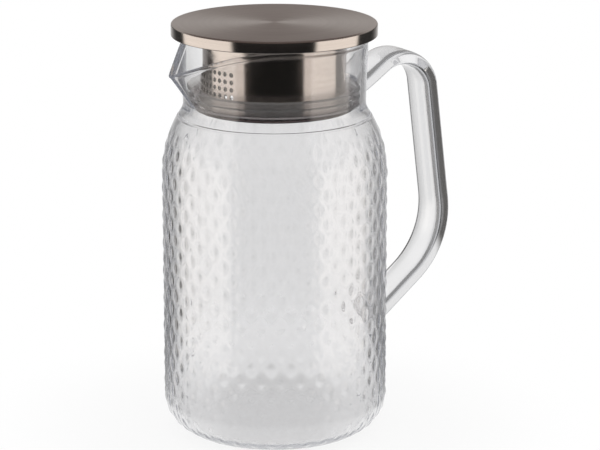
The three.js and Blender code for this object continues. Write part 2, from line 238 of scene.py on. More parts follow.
# %% Outer wall
def wall_point(along, sunk=0.0):
    """Radius and height at a length along the outer wall. The normal's angle a grows over the base corner,
    stays level up the wall and grows again over the shoulder. The point is
    centre + (r - sunk)(cos a, sin a)."""
    along = np.asarray(along, dtype=float)
    parts = [along < corner_length, along < wall_end]
    angle = np.select(parts, [along / BASE_ROUND - np.pi / 2, 0 * along], (along - wall_end) / SHOULDER_ROUND)
    centre_radius = np.select(parts, [body_radius - BASE_ROUND] * 2, body_radius - SHOULDER_ROUND)
    centre_height = np.select(parts, [BASE_ROUND, BASE_ROUND + along - corner_length], WALL_TOP)
    radius = np.select(parts, [BASE_ROUND] * 2, SHOULDER_ROUND) - sunk
    return centre_radius + radius * np.cos(angle), centre_height + radius * np.sin(angle)


print("shoulder ends at", [round(float(v) / MM, 1) for v in wall_point(outer_length)])

# %% Diamond relief
DIAMONDS_ROUND = 36
DIAMOND_HEIGHT = 14.6 * MM
DIAMOND_DEPTH = 0.6 * MM
DIAMOND_CROWN = 3.0
CROWN_SPREAD = 0.3
SCRAMBLE_P = 12.9898
SCRAMBLE_Q = 78.233
SCRAMBLE_SCALE = 43758.5453
RELIEF_START = 6.3 * MM
RELIEF_TOP_MARGIN = 3.0 * MM
TOP_FADE_ROWS = 2.0
CELL_STEPS = 5

row_pitch = DIAMOND_HEIGHT / 2
relief_rows = int((outer_length - RELIEF_START - RELIEF_TOP_MARGIN) / row_pitch)
vessel_columns = 2 * DIAMONDS_ROUND * CELL_STEPS


def diamond_sink(from_spout, along):
    """Depth of the relief. p and q count diamonds along the two slants of the lattice, and the depth is
    DIAMOND_DEPTH (1 - k |cos pi p cos pi q| ^ DIAMOND_CROWN): nearly nought on a crown, full in the grooves.
    The height k of a crown differs a little from the next, by a scrambled sine of its two whole numbers."""
    column = from_spout * DIAMONDS_ROUND / np.pi
    row = (along - RELIEF_START) / row_pitch
    p, q = (column + row + 1) / 2, (column - row + 1) / 2
    crown = np.abs(np.cos(np.pi * p) * np.cos(np.pi * q)) ** DIAMOND_CROWN
    number = np.round(p) % DIAMONDS_ROUND * SCRAMBLE_P + np.round(q) % DIAMONDS_ROUND * SCRAMBLE_Q
    uneven = 1 - CROWN_SPREAD * (np.sin(number) * SCRAMBLE_SCALE % 1)
    fade = np.clip(row, 0, 1) * np.clip((relief_rows - row) / TOP_FADE_ROWS, 0, 1)
    return DIAMOND_DEPTH * fade * (1 - uneven * crown)


print(relief_rows, "rows of half diamonds,", vessel_columns, "columns")

# %% Pouring beak
SPOUT_REACH = 11.7 * MM
SPOUT_DROP = 15.2 * MM
SPOUT_FOOT_RISE = 3.5 * MM
SPOUT_SPREAD = math.radians(70)
SPOUT_DROP_POWER = 1.9
BEAK_TIP_ROUND = math.radians(1)
COLUMN_CROWDING = 0.35

spout_foot = neck_foot + SPOUT_FOOT_RISE


def bend_spout(from_spout, radius, height):
    """Draws the neck out into a beak with flat flanks. The climb runs from 0 at the foot to 1 at the rim. A
    flank leaves the round neck at a tangent, at a turn e with cos e = r / (r + reach * climb), so at a turn a
    from the spout the radius is r / cos(e - a). The height loses drop * climb * (1 - a / spread) ^ power."""
    turn = np.abs(from_spout)
    climb = np.clip((height - spout_foot) / (rim_height - spout_foot), 0, 1)
    rounded = np.hypot(turn, BEAK_TIP_ROUND) - BEAK_TIP_ROUND
    dip = np.clip(1 - turn / SPOUT_SPREAD, 0, 1) ** SPOUT_DROP_POWER
    flank_end = np.arccos(radius / (radius + SPOUT_REACH * climb))
    return radius / np.cos(np.maximum(0, flank_end - rounded)), height - SPOUT_DROP * climb * dip


def crowd_columns(from_spout, height):
    """Draws the columns towards the beak as they climb the neck: the turn a becomes
    pi (a / pi) ^ (1 + crowding * climb)."""
    climb = np.clip((height - neck_foot) / (rim_height - neck_foot), 0, 1)
    share = np.abs(from_spout) / np.pi
    return np.sign(from_spout) * np.pi * share ** (1 + COLUMN_CROWDING * climb)


print("beak tip at", [round(float(v) / MM, 1) for v in bend_spout(0.0, rim_radius, rim_height)])

# %% Profile of the vessel
FOOT_STEPS = 6
FILLET_STEPS = 7
NECK_ROWS = 25
RIM_STEPS = 18


def quadratic(start, control, end, steps):
    """Points of the parabola (1-t)^2 start + 2t(1-t) control + t^2 end, without its two ends."""
    t = np.linspace(0, 1, steps + 2)[1:-1, None]
    return (1 - t) ** 2 * np.array(start) + 2 * t * (1 - t) * np.array(control) + t ** 2 * np.array(end)


def neck_outside(height):
    """The neck leans out evenly from its foot to the rim."""
    return neck_radius + NECK_FLARE * (height - neck_foot) / (rim_centre - neck_foot)


relief_end = RELIEF_START + relief_rows * row_pitch
relief_along = np.linspace(RELIEF_START, relief_end, relief_rows * CELL_STEPS + 1)
flat_middle = (body_radius - BASE_ROUND) / 2
base_rows = np.array([[0, 0], [flat_middle, 0]])
foot_rows = stack(*wall_point(np.linspace(0, RELIEF_START, FOOT_STEPS + 1)[:-1]))
shoulder_last = stack(*wall_point(outer_length - NECK_FILLET))
neck_first = np.array([neck_outside(neck_foot + NECK_FILLET), neck_foot + NECK_FILLET])
fillet_rows = quadratic(shoulder_last, (neck_radius, neck_foot), neck_first, FILLET_STEPS)
bead_foot = rim_centre - bead_radius * math.sin(bead_lean)
neck_heights = np.linspace(neck_first[1], bead_foot, NECK_ROWS)
neck_rows = stack(neck_outside(neck_heights), neck_heights)
rim_turn = np.linspace(-bead_lean, np.pi + bead_lean, RIM_STEPS + 1)[1:-1]
rim_rows = stack(rim_radius - NECK_WALL / 2 + bead_radius * np.cos(rim_turn),
                 rim_centre + bead_radius * np.sin(rim_turn))
print("neck rows", len(neck_rows), "rim rows", len(rim_rows))

# %% [markdown]
# A fine line runs round the top of the shoulder, where a blow mould would part from its neck ring. It could
# be drawn in the material, but a shallow groove bends light as the real line does. At a distance s from its
# middle, as a share of its half width, the groove has (1 - s^2)^2 of its depth.

# %% Parting line
PARTING_DEPTH = 0.35 * MM
PARTING_BELOW = 5.0 * MM
PARTING_HALF = 1.0 * MM
PARTING_STEPS = 31

parting_along = np.linspace(relief_end, outer_length - NECK_FILLET, PARTING_STEPS + 1)[1:-1]
from_parting = (parting_along - outer_length + PARTING_BELOW) / PARTING_HALF
parting_sink = PARTING_DEPTH * np.clip(1 - from_parting ** 2, 0, 1) ** 2
parting_rows = stack(*wall_point(parting_along, parting_sink))
print("parting line of", round(parting_sink.max() / MM, 2), "mm in", len(parting_rows), "rows")

# %% Inside of the vessel
BORE_STEPS = 5
SHOULDER_ROWS = 12
CORNER_ROWS = 11

inner_shoulder = SHOULDER_ROUND - BODY_WALL
inner_centre = body_radius - SHOULDER_ROUND
neck_bore = neck_radius - NECK_WALL
bore_sweep = math.acos((neck_bore - inner_centre) / inner_shoulder)
bore_foot = WALL_TOP + inner_shoulder * math.sin(bore_sweep)
bore_heights = np.linspace(bead_foot, bore_foot + NECK_FILLET, NECK_ROWS)
bore_rows = stack(neck_outside(bore_heights) - NECK_WALL, bore_heights)
inner_sweep = np.linspace(bore_sweep - NECK_FILLET / inner_shoulder, 0, SHOULDER_ROWS)
inner_shoulder_rows = stack(inner_centre + inner_shoulder * np.cos(inner_sweep),
                            WALL_TOP + inner_shoulder * np.sin(inner_sweep))
inner_fillet_rows = quadratic(bore_rows[-1], (neck_bore, bore_foot), inner_shoulder_rows[0], BORE_STEPS)
inner_round = BASE_ROUND - BODY_WALL
inner_corner = np.linspace(0, -np.pi / 2, CORNER_ROWS)
inner_base_rows = stack(body_radius - BASE_ROUND + inner_round * np.cos(inner_corner),
                        FLOOR_THICKNESS + inner_round + inner_round * np.sin(inner_corner))
floor_rows = np.array([[flat_middle, FLOOR_THICKNESS], [0, FLOOR_THICKNESS]])
inside_rows = np.concatenate([inner_fillet_rows, inner_shoulder_rows, inner_base_rows, floor_rows])
print("inside rows", len(inside_rows), "bore radius", round(neck_bore / MM, 1))

# %% Vessel mesh
spin = np.linspace(-np.pi, np.pi, vessel_columns, endpoint=False)


def smooth_rows(rows):
    """Rows of radius and height as a grid of turn, radius and height, the same at every turn."""
    return stack(spin, rows[:, :1], rows[:, 1:])


def beaked_rows(rows):
    """Rows of the neck with their columns drawn towards the beak and the beak bent out of them."""
    turn = crowd_columns(spin, rows[:, 1:])
    return stack(turn, *bend_spout(turn, rows[:, :1], rows[:, 1:]))


def lattice_triangles(rows, columns, first_row):
    """Two triangles for each quad, split along the groove of its diamond. In a lattice square whose row and
    column numbers have an even sum the groove runs from the first corner to the third, and else from the
    second to the fourth."""
    quads = grid_quads(rows, columns)
    row, column = np.divmod(np.arange(len(quads)), columns)
    even = ((row - first_row) // CELL_STEPS + column // CELL_STEPS) % 2 == 0
    split = np.where(even[:, None], quads[:, [0, 1, 2, 0, 2, 3]], quads[:, [0, 1, 3, 1, 2, 3]])
    return split.reshape(-1, 3)


relief_sink = diamond_sink(spin, relief_along[:, None])
relief_grid = stack(spin, *wall_point(relief_along[:, None], relief_sink))
before_relief = smooth_rows(np.concatenate([base_rows, foot_rows]))
neck_grid = beaked_rows(np.concatenate([parting_rows, fillet_rows, neck_rows, rim_rows, bore_rows]))
vessel_grid = np.concatenate([before_relief, relief_grid, neck_grid, smooth_rows(inside_rows)])
turn, radius, height = np.moveaxis(vessel_grid, -1, 0)
vessel_faces = lattice_triangles(len(vessel_grid), vessel_columns, len(before_relief))
vessel = put_piece("carafe_vessel", turned(-radius, turn, height), vessel_faces)
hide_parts("carafe_body")
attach(vessel, "carafe")

# %% [markdown]
# ## The handle
# The handle is a clear strip moulded by itself, bent twice and bonded to the neck and the wall. It could be a
# curve with a bevel shape, but its ends have to follow the round vessel. So a rounded oblong section is
# carried along the bent centre line, and every lengthwise line of the strip is cut where it has entered the
# wall. The bond is clear, so the ends sit a little inside the wall and no air shows between the two.

# %% Sizes of the handle
HANDLE_WIDTH = 22.8 * MM
HANDLE_THICKNESS = 7.4 * MM
HANDLE_SQUARENESS = 4.5
HANDLE_ROOT_WIDTH = 26.0 * MM
HANDLE_ROOT_FLARE = 20.0 * MM
HANDLE_ROOT_RISE = 7.8 * MM
HANDLE_TOP_REACH = 25.8 * MM
HANDLE_TOP_RISE = 23.6 * MM
HANDLE_TOP_BEND = 17.7 * MM
HANDLE_LOW_REACH = 39.8 * MM
HANDLE_LOW_HEIGHT = 87.4 * MM
HANDLE_LOW_BEND = 45.0 * MM
HANDLE_FOOT_HEIGHT = 54.2 * MM
HANDLE_EMBED = 9.0 * MM
BOND_DEPTH = 1.0 * MM
BEND_STEPS = 60

root = np.array([neck_radius, neck_foot + HANDLE_ROOT_RISE])
top = np.array([body_radius + HANDLE_TOP_REACH, root[1] + HANDLE_TOP_RISE])
low = np.array([body_radius + HANDLE_LOW_REACH, HANDLE_LOW_HEIGHT])
foot = np.array([body_radius, HANDLE_FOOT_HEIGHT])
handle_corners = [root + unit(root - top) * HANDLE_EMBED, top, low, foot + unit(foot - low) * HANDLE_EMBED]
handle_line = rounded_line(handle_corners, [HANDLE_TOP_BEND, HANDLE_LOW_BEND], BEND_STEPS)
print("handle reaches", round(handle_line[:, 0].max() / MM, 1), "mm from the axis")

# %% Strip along the line
HANDLE_SAMPLES = 900
SECTION_POINTS = 48


def along_line(line, count):
    """Points at even lengths along a line, and the line's heading there."""
    reached = np.concatenate([[0], np.cumsum(np.linalg.norm(np.diff(line, axis=0), axis=1))])
    wanted = np.linspace(0, reached[-1], count)
    points = stack(*[np.interp(wanted, reached, part) for part in line.T])
    heading = np.gradient(points, axis=0)
    return wanted, points, heading / np.linalg.norm(heading, axis=1, keepdims=True)


def oblong_section():
    """A rounded oblong as shares of half its width and half its thickness: |across|^n + |through|^n = 1."""
    angle = np.linspace(0, 2 * np.pi, SECTION_POINTS, endpoint=False)
    power = 2 / HANDLE_SQUARENESS
    across = np.sign(np.cos(angle)) * np.abs(np.cos(angle)) ** power
    return across, np.sign(np.sin(angle)) * np.abs(np.sin(angle)) ** power


reached, centre, heading = along_line(handle_line, HANDLE_SAMPLES)
past_root = np.clip((reached - HANDLE_EMBED) / HANDLE_ROOT_FLARE, 0, 1)
slim = past_root * past_root * (3 - 2 * past_root)
width = HANDLE_ROOT_WIDTH + (HANDLE_WIDTH - HANDLE_ROOT_WIDTH) * slim
share_across, share_through = oblong_section()
across = share_across * width[:, None] / 2
through = share_through * HANDLE_THICKNESS / 2
strip = stack(centre[:, :1] - heading[:, 1:] * through, across, centre[:, 1:] + heading[:, :1] * through)
print("strip of", strip.shape[0], "rings of", strip.shape[1], "points")

# %% Ends cut to the vessel
HANDLE_RINGS = 170
END_RINGS = 6
HANDLE_CREASE = math.radians(50)

outside_rows = np.concatenate([foot_rows, stack(*wall_point(relief_along)), fillet_rows, neck_rows])


def vessel_radius(height):
    """Radius of the smooth outside of the vessel at a height."""
    return np.interp(height, outside_rows[:, 1], outside_rows[:, 0])


def crossing(clear, first):
    """Fractional ring at which each lengthwise line leaves the wall, from the first ring or the last."""
    outside = clear > 0
    ring = np.argmax(outside, axis=0) if first else len(clear) - 1 - np.argmax(outside[::-1], axis=0)
    other = ring - 1 if first else ring + 1
    line = np.arange(clear.shape[1])
    share = clear[ring, line] / (clear[ring, line] - clear[other, line])
    return ring + (other - ring) * share


def end_rings(loop):
    """Rings from the middle of an end to its edge: turn and height shrink to their mean, and the radius
    stays at the depth of the bond inside the wall."""
    turn, height = np.arctan2(loop[:, 1], loop[:, 0]), loop[:, 2]
    share = np.linspace(0, 1, END_RINGS, endpoint=False)[:, None]
    turn = turn.mean() + (turn - turn.mean()) * share
    height = height.mean() + (height - height.mean()) * share
    return turned(vessel_radius(height) - BOND_DEPTH, turn, height)


clear = np.hypot(strip[..., 0], strip[..., 1]) - vessel_radius(strip[..., 2]) + BOND_DEPTH
start, stop = crossing(clear, True), crossing(clear, False)
ring = start + (stop - start) * np.linspace(0, 1, HANDLE_RINGS)[:, None]
whole = np.clip(np.floor(ring).astype(int), 0, HANDLE_SAMPLES - 2)
part = (ring - whole)[..., None]
line = np.arange(strip.shape[1])
cut = strip[whole, line] * (1 - part) + strip[whole + 1, line] * part
handle_grid = np.concatenate([end_rings(cut[0]), cut, end_rings(cut[-1])[::-1]])
handle = put_piece("carafe_handle", handle_grid, grid_quads(*handle_grid.shape[:2]), HANDLE_CREASE)
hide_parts("handle")
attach(handle, "carafe")

# %% [markdown]
# ## The lid's cap and plate
# The cap is a steel disc pressed into a shallow dish, spun and brushed in rings. A plate is pressed into it
# from below and carries the sleeve. Each could be a cylinder with bevels, but a thin profile turned about the
# axis has just the small radii that a press tool leaves.

# %% Cap
cap_low, cap_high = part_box("lid_cap")
CAP_SHEET = 0.8 * MM
CAP_EDGE = 1.0 * MM
HEM_ROUND = 0.25 * MM
HEM_OUTSIDE = 0.5 * MM
LID_COLUMNS = 288
PRESSED_CREASE = math.radians(60)

cap_radius = cap_high.x
cap_inside = cap_radius - CAP_SHEET
cap_corners = [(0, cap_high.z - CAP_SHEET), (cap_inside, cap_high.z - CAP_SHEET), (cap_inside, cap_low.z),
               (cap_radius, cap_low.z), (cap_radius, cap_high.z), (0, cap_high.z)]
cap_profile = rounded_line(cap_corners, [CAP_EDGE / 2, HEM_ROUND, HEM_OUTSIDE, CAP_EDGE])
cap = turn_profile("lid_cap_spun", cap_profile, LID_COLUMNS, crease=PRESSED_CREASE)
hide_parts("lid_cap")
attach(cap, "lid")

# %% Plate
plate_low, plate_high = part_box("lid_base_plate")
PLATE_EDGE = 0.25 * MM
BEAD_RADIUS = 44.0 * MM
BEAD_WIDTH = 2.4 * MM
BEAD_RISE = 0.35 * MM

plate_corners = [(0, plate_low.z), (BEAD_RADIUS - BEAD_WIDTH, plate_low.z),
                 (BEAD_RADIUS, plate_low.z + BEAD_RISE), (BEAD_RADIUS + BEAD_WIDTH, plate_low.z),
                 (plate_high.x, plate_low.z), (plate_high.x, plate_high.z), (0, plate_high.z)]
plate_profile = rounded_line(plate_corners, [BEAD_WIDTH, BEAD_WIDTH, BEAD_WIDTH, PLATE_EDGE, PLATE_EDGE])
plate = turn_profile("lid_plate_pressed", plate_profile, LID_COLUMNS, crease=PRESSED_CREASE)
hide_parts("lid_base_plate")
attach(plate, "lid")

# %% [markdown]
# ## The strainer sleeve
# The sleeve is a steel tube welded under the plate, with rows of small holes towards the spout, a wide window
# on the other side and a turned-out flange that holds the silicone ring. A boolean cut would leave ragged
# faces round the holes. Here the sheet is a grid of turn and height whose points near a hole slide onto its
# outline, the faces inside are left out, and the two skins are stitched along every open edge.

# %% Sizes of the sleeve
sleeve_low, sleeve_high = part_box("strainer_sleeve")
seal_low, seal_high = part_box("seal_ring")
SLEEVE_SHEET = 0.8 * MM
SLEEVE_FLANGE = 1.5 * MM
FLANGE_BEND = 0.3 * MM
HOLE_RADIUS = 1.2 * MM
HOLE_ROWS = 4
HOLE_COLUMNS = 10
HOLE_PITCH_UP = 3.75 * MM
HOLE_PITCH_ROUND = 3.75 * MM
HOLES_ABOVE_SEAL = 0.1 * MM
WINDOW_WIDTH = 30.0 * MM
WINDOW_HEIGHT = 9.0 * MM
WINDOW_MARGIN = 3.0 * MM
SEAL_HEIGHT = 10.0 * MM

seal_top = seal_low.z + SEAL_HEIGHT
sleeve_radius = sleeve_high.x - SLEEVE_FLANGE
holes_foot = seal_top + HOLES_ABOVE_SEAL + HOLE_RADIUS - HOLE_PITCH_UP / 2
holes_top = holes_foot + HOLE_ROWS * HOLE_PITCH_UP
holes_half = HOLE_COLUMNS * HOLE_PITCH_ROUND / 2
half_round = math.pi * sleeve_radius
window_half = sleeve_radius * math.asin(WINDOW_WIDTH / 2 / sleeve_radius)
window_cell = window_half + WINDOW_MARGIN
print("sleeve radius", round(sleeve_radius / MM, 2), "holes from", round(holes_foot / MM, 2), "up")

# %% Grid of the sheet
HOLE_STEPS = 8
WINDOW_STEPS = 48
BETWEEN_LINES = 40
BELOW_STEPS = 5
ABOVE_STEPS = 7
LAST_CELL = 0.001


def sheet_lines():
    """Lengths round the sheet and heights up it: even steps over each cell of the strainer and the window."""
    between = np.linspace(holes_half, half_round - window_cell, BETWEEN_LINES)
    strainer = np.linspace(-holes_half, holes_half, HOLE_COLUMNS * HOLE_STEPS + 1)
    window = np.linspace(-window_cell, window_cell, WINDOW_STEPS + 1)[:-1] + half_round
    around = np.concatenate([strainer, between[1:-1], window, 2 * half_round - between[::-1][:-1]])
    below = np.linspace(sleeve_low.z + SLEEVE_SHEET + FLANGE_BEND, holes_foot, BELOW_STEPS + 1)[:-1]
    holes = np.linspace(holes_foot, holes_top, HOLE_ROWS * HOLE_STEPS + 1)
    above = np.linspace(holes_top, sleeve_high.z, ABOVE_STEPS + 1)[1:]
    return around, np.concatenate([below, holes, above])


around, upward = sheet_lines()
up, across = np.meshgrid(upward, around, indexing="ij")
in_band = (up > holes_foot - MERGE_DISTANCE) & (up < holes_top + MERGE_DISTANCE)
in_strainer = in_band & (np.abs(across) < holes_half + MERGE_DISTANCE)
in_window = in_band & (np.abs(across - half_round) < window_cell + MERGE_DISTANCE)
cell_across = np.floor(np.clip((across + holes_half) / HOLE_PITCH_ROUND, 0, HOLE_COLUMNS - LAST_CELL))
cell_up = np.floor(np.clip((up - holes_foot) / HOLE_PITCH_UP, 0, HOLE_ROWS - LAST_CELL))
print("sheet grid", up.shape, "holes", HOLE_ROWS * HOLE_COLUMNS)

# %% Holes and window
HOLE_CORE = 0.5
WINDOW_CORE = 0.75
TINY = 1e-9


def slide_to_hole(point, centre, half, straight, radius, core):
    """Slides the points of a cell onto the outline of its hole. a and b run from -1 to 1 over the cell and
    ring = max(|a|, |b|). The outline point is c + radius * unit(e - c), with e on the cell's edge and c the
    nearest point of the hole's straight middle. Ring core lies on the outline, ring 1 stays, and between
    them they mix."""
    ring = np.maximum(np.abs((point - centre) / half).max(axis=-1, keepdims=True), TINY)
    edge = (point - centre) / ring
    middle = stack(np.clip(edge[..., 0], -straight, straight), 0.0)
    away = edge - middle
    outline = middle + radius * away / np.maximum(np.linalg.norm(away, axis=-1, keepdims=True), TINY)
    return centre + outline + (edge - outline) * (ring - core) / (1 - core)


plain = stack(across, up)
hole_pitch = np.array([HOLE_PITCH_ROUND, HOLE_PITCH_UP])
hole_centre = (stack(cell_across, cell_up) + 0.5) * hole_pitch + (-holes_half, holes_foot)
hole_place = slide_to_hole(plain, hole_centre, hole_pitch / 2, 0.0, HOLE_RADIUS, HOLE_CORE)
window_centre = np.array([half_round, (holes_foot + holes_top) / 2])
window_size = np.array([window_cell, (holes_top - holes_foot) / 2])
window_round = WINDOW_HEIGHT / 2
window_place = slide_to_hole(plain, window_centre, window_size, window_half - window_round, window_round,
                             WINDOW_CORE)
place = np.where(in_strainer[..., None], hole_place, plain)
place = np.where(in_window[..., None], window_place, place)
print("window", round(2 * window_half / MM, 1), "mm round by", round(WINDOW_HEIGHT / MM, 1), "mm")

# %% [markdown]
# A face is left out where its middle lies in a hole. The middle is taken on the plain grid, because a point
# on the border of two strainer cells counts for only one of them.


# %% Faces of the sheet
def from_middle(value, start, pitch):
    """Distance from the middle of the cell that a value lies in: 0 in the middle, 1 at the border."""
    return np.abs((value - start) / pitch % 1 * 2 - 1)


sheet_quads = grid_quads(*up.shape)
column = np.arange(len(sheet_quads)) % up.shape[1]
seam_across = 2 * half_round - holes_half
middle_across = np.where(column < up.shape[1] - 1, across.ravel()[sheet_quads].mean(1), seam_across)
middle_up = up.ravel()[sheet_quads].mean(1)
hole_middle = np.maximum(from_middle(middle_across, -holes_half, HOLE_PITCH_ROUND),
                         from_middle(middle_up, holes_foot, HOLE_PITCH_UP))
window_middle = np.abs((stack(middle_across, middle_up) - window_centre) / window_size).max(axis=-1)
in_rows = (middle_up > holes_foot) & (middle_up < holes_top)
in_hole = in_rows & (np.abs(middle_across) < holes_half) & (hole_middle < HOLE_CORE)
in_opening = in_rows & (window_middle < WINDOW_CORE)
sheet_quads = sheet_quads[~(in_hole | in_opening)]
print(int(in_hole.sum()), "quads cut for holes,", int(in_opening.sum()), "for the window")


# %% Two skins stitched together
def two_skins(outer, inner, quads):
    """Points and quads of a closed sheet: the outer skin, the inner skin turned over, and a wall along each
    edge that only one quad uses. Points that no quad uses are dropped."""
    used, quads = np.unique(quads, return_inverse=True)
    quads = quads.reshape(-1, 4)
    outer, inner, count = outer[used], inner[used], len(used)
    edges = stack(quads, np.roll(quads, -1, axis=1)).reshape(-1, 2)
    forward = edges[:, 0] * count + edges[:, 1]
    backward = edges[:, 1] * count + edges[:, 0]
    a, b = edges[~np.isin(forward, backward)].T
    walls = stack(b, a, a + count, b + count)
    return np.concatenate([outer, inner]), np.concatenate([quads, quads[:, ::-1] + count, walls])


def flange_rows(radius, lip, depth, bend):
    """Radius and height from the flange's edge round its bend to the foot of the tube's straight part."""
    return rounded_line([(lip, depth), (radius, depth), (radius, upward[0])], [bend])[:-1]


def sleeve_skin(flange, radius):
    """The flange's rows turned about the axis, then the sheet above them: a length round the sheet is a turn
    from the spout times the sleeve's radius."""
    rows = turned(-flange[:, :1], around / sleeve_radius, flange[:, 1:])
    sheet = turned(-radius, place[..., 0] / sleeve_radius, place[..., 1])
    return np.concatenate([rows, sheet]).reshape(-1, 3)


print("skins", SLEEVE_SHEET / MM, "mm apart")

# %% Sleeve mesh
BEND_SHARE = 0.9
SLEEVE_CREASE = math.radians(35)

outer_bend = FLANGE_BEND * BEND_SHARE
flange_outer = flange_rows(sleeve_radius, sleeve_high.x, sleeve_low.z + SLEEVE_SHEET, outer_bend)
flange_inner = flange_rows(sleeve_radius - SLEEVE_SHEET, sleeve_high.x, sleeve_low.z, SLEEVE_SHEET)
columns = up.shape[1]
flange_quads = grid_quads(len(flange_outer) + 1, columns)
all_quads = np.concatenate([flange_quads, sheet_quads + len(flange_outer) * columns])
outer_skin = sleeve_skin(flange_outer, sleeve_radius)
inner_skin = sleeve_skin(flange_inner, sleeve_radius - SLEEVE_SHEET)
sleeve_points, sleeve_quads = two_skins(outer_skin, inner_skin, all_quads)
sleeve = put_piece("lid_strainer_sleeve", sleeve_points, sleeve_quads, SLEEVE_CREASE)
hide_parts("strainer_sleeve")
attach(sleeve, "lid")

# %% [markdown]
# ## The silicone ring
# The ring grips the sleeve's flange and closes the neck with three soft lips. It could be a torus, but its
# profile follows the packed solid, with the rounded tips and roots of a moulded ring. It rides its own body,
# because the steel lid turns in it.

# %% Ring
SEAL_WIDTH = 6.7 * MM
LIP_REACH = 3.4 * MM
LIP_ROOT = 2.4 * MM
LIP_TIP = 0.8 * MM
LIP_RISE = 3.6 * MM
LIP_COUNT = 3
LIP_ROUND = 0.35 * MM
ROOT_ROUND = 0.5 * MM
GROOVE_ROUND = 0.2 * MM
SKIRT = 1.0 * MM
SEAL_GAP = 0.3 * MM
SEAL_ARC_STEPS = 5

seal_radius = seal_high.x
seal_bore = seal_radius - SEAL_WIDTH
web = seal_radius - LIP_REACH
groove = sleeve_high.x + SEAL_GAP
groove_low = seal_low.z + SKIRT
groove_high = groove_low + 2 * SEAL_GAP + SLEEVE_SHEET
lip_pitch = (SEAL_HEIGHT - LIP_ROOT) / (LIP_COUNT - 1)


def lip_corners(foot):
    """Four corners of a lip from its root on the web to its tip and back."""
    tip = foot + LIP_RISE
    return [(web, foot), (seal_radius, tip), (seal_radius, tip + LIP_TIP), (web, foot + LIP_ROOT)]


lips = [corner for lip in range(LIP_COUNT) for corner in lip_corners(seal_low.z + lip * lip_pitch)]
seam = ((seal_bore + web) / 2, seal_low.z)
seal_corners = [seam, *lips, (seal_bore, seal_top), (seal_bore, groove_high), (groove, groove_high),
                (groove, groove_low), (seal_bore, groove_low), (seal_bore, seal_low.z), seam]
lip_rounds = [ROOT_ROUND, LIP_ROUND, LIP_ROUND, ROOT_ROUND] * LIP_COUNT
seal_rounds = [*lip_rounds, LIP_ROUND, *[GROOVE_ROUND] * 4, LIP_ROUND]
seal_profile = rounded_line(seal_corners, seal_rounds, SEAL_ARC_STEPS)[:-1]
seal = turn_profile("lid_silicone_ring", seal_profile, LID_COLUMNS, closed=True)
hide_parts("seal_ring")
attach(seal, "seal")

# %% [markdown]
# ## Shader sums
# A finish is easier to read as a formula than as a tangle of nodes. This small class wraps one socket. An
# operator between two of them, or between one and a number, adds the Math node that it stands for, and one
# method makes every other kind of node.

# %% Socket wrapper
class Wire:
    """One output socket of a node tree, used like a number."""

    def __init__(self, tree, socket=None):
        self.tree = tree
        self.socket = socket

    def node(self, kind, settings=None, sockets=None, output=0):
        """Adds a node of this kind, makes its settings, sets or links its sockets, and gives one output."""
        made = self.tree.nodes.new("ShaderNode" + kind)
        for name, value in (settings or {}).items():
            setattr(made, name, value)
        for key, value in (sockets or {}).items():
            if isinstance(value, Wire):
                self.tree.links.new(value.socket, made.inputs[key])
            else:
                made.inputs[key].default_value = value
        return Wire(self.tree, made.outputs[output] if len(made.outputs) else None)

    def also(self, output):
        """Another output of the same node."""
        return Wire(self.tree, self.socket.node.outputs[output])

    def math(self, operation, first, second=0.0):
        """A Math node on two values."""
        return self.node("Math", {"operation": operation}, {0: first, 1: second})

    def __add__(self, other):
        return self.math("ADD", self, other)

    def __sub__(self, other):
        return self.math("SUBTRACT", self, other)

    def __mul__(self, other):
        return self.math("MULTIPLY", self, other)

    def __truediv__(self, other):
        return self.math("DIVIDE", self, other)

    def __pow__(self, other):
        return self.math("POWER", self, other)

    def __rsub__(self, other):
        return self.math("SUBTRACT", other, self)

    def __rtruediv__(self, other):
        return self.math("DIVIDE", other, self)

    __radd__ = __add__
    __rmul__ = __mul__

    def step(self, low, high):
        """Rises smoothly from 0 at low to 1 at high."""
        sockets = {"Value": self, "From Min": low, "From Max": high}
        return self.node("MapRange", {"interpolation_type": "SMOOTHSTEP"}, sockets)

    def blend(self, first, second):
        """Mixes two colours by this share of the second."""
        return self.node("Mix", {"data_type": "RGBA"}, {0: self, 6: first, 7: second}, output=2)


print("methods of a wire:", [name for name in vars(Wire) if not name.startswith("__")])


# %% First nodes of a finish
def start_tree(owner):
    """An empty node tree of a material or a world, as a wire to begin from."""
    owner.use_nodes = True
    owner.node_tree.nodes.clear()
    return Wire(owner.node_tree)


def start_finish(name):
    """A new material, a wire to begin from and the place on the piece."""
    material = bpy.data.materials.new(name)
    wire = start_tree(material)
    return material, wire, wire.node("TexCoord", output="Object")


def noise(wire, vector, scale, detail=2.0, roughness=0.5):
    """Smooth noise from 0 to 1 over a vector, with this many waves for each unit of it."""
    sockets = {"Vector": vector, "Scale": scale, "Detail": detail, "Roughness": roughness}
    return wire.node("TexNoise", {}, sockets)


def bumped(wire, height):
    """The normal of a surface that is raised by this height in metres."""
    return wire.node("Bump", {}, {"Strength": 1.0, "Distance": 1.0, "Height": height})


def grey(value):
    """A colour with this level in each channel."""
    return (value, value, value, 1.0)


print("white is", grey(1.0))

# %% [markdown]
# ## Clear plastic
# The plastic is water clear with a faint body colour, so long paths through a wall look darker than short
# ones: that is an absorbing volume inside a glassy surface. A thin tinted glass shader would be simpler, but
# it has no inside for light to run along. Blown plastic is never quite flat. A slow ripple and a very fine
# one bend the reflections, and faint handling marks change the gloss.

